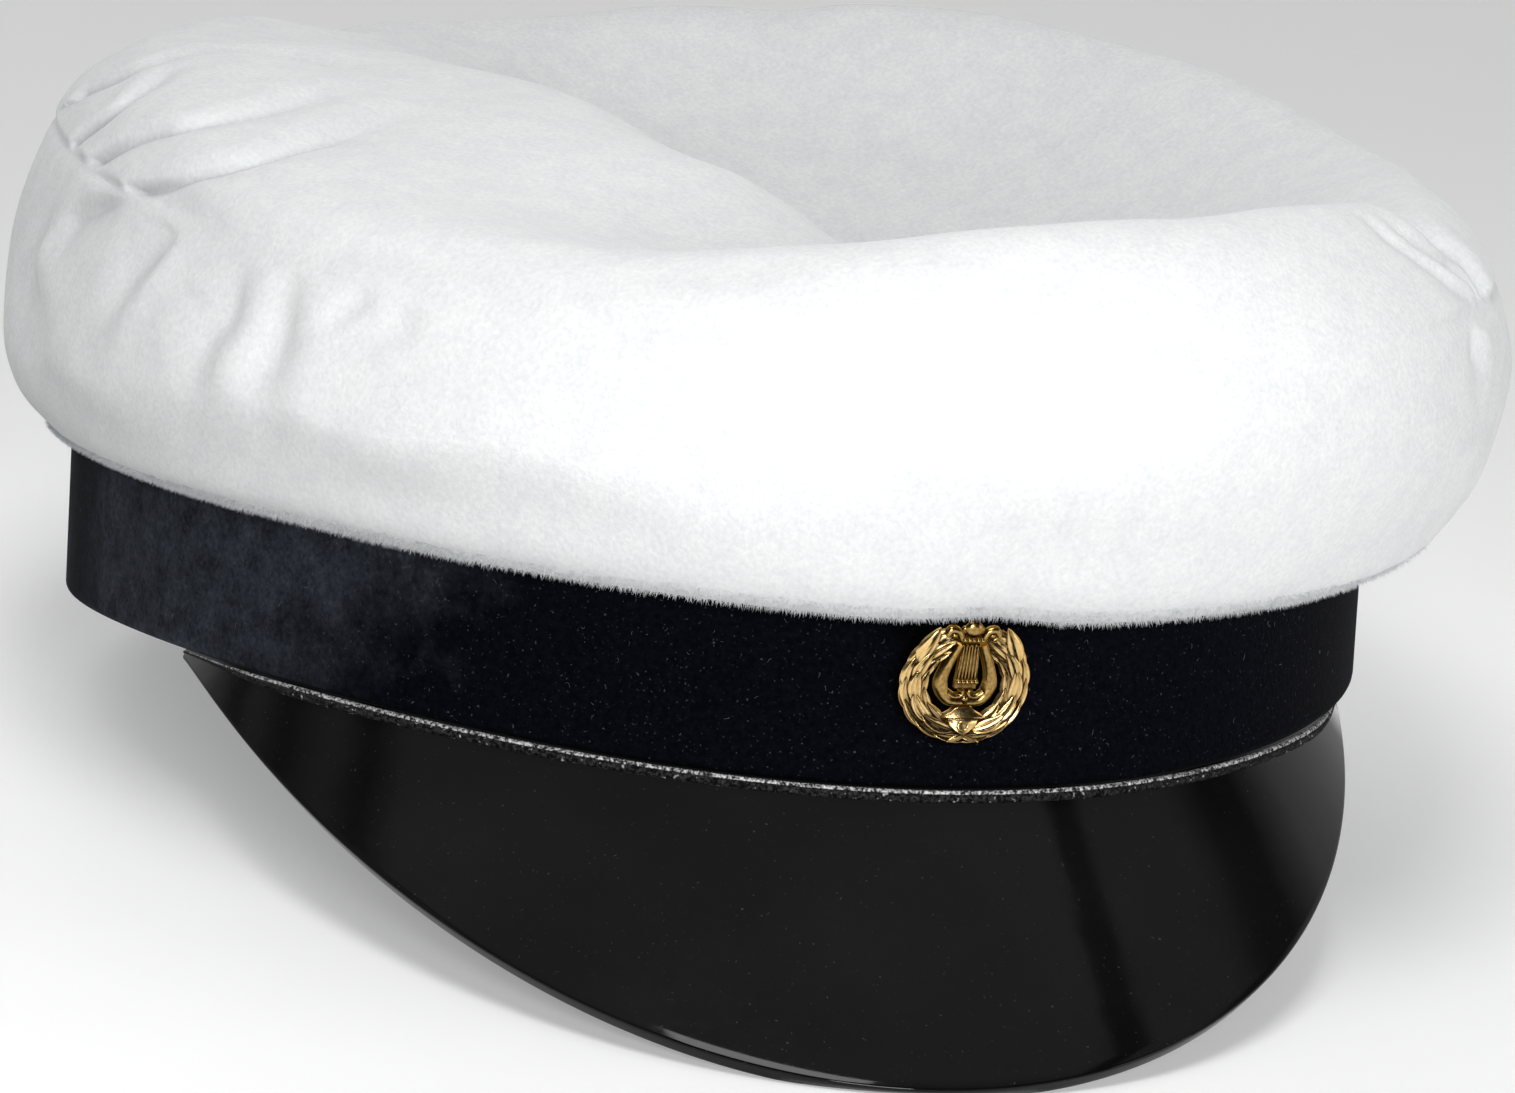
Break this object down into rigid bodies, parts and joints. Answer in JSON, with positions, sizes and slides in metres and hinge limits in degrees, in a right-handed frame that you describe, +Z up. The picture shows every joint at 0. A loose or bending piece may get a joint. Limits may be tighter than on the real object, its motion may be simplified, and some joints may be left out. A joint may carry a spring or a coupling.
{
  "type": "student cap",
  "caption": "Student cap with a soft gathered velvet crown, a dark velvet band, a patent peak edged with satin piping, and a pierced lyre badge on the front.",
  "frame": {"origin": "middle of the cap's outline on the surface it rests on", "axes": "+X to the wearer's left, +Y to the back of the cap, +Z up; the peak points to -Y"},
  "size_m": [0.2014, 0.2526, 0.0953],
  "materials": {
    "crown_velvet": "white cotton velvet with a short pile",
    "band_velvet": "navy black velvet",
    "piping_satin": "black satin cord with fine crosswise ridges",
    "peak_patent": "black patent leather, glossy",
    "badge_gold": "gold-plated pierced and cast brass"
  },
  "bodies": {
    "root": {"crown_top": "crown_velvet", "crown_side_left": "crown_velvet", "crown_side_right": "crown_velvet", "band": "band_velvet", "piping": "piping_satin", "peak": "peak_patent", "badge": "badge_gold"}
  },
  "joints": []
}
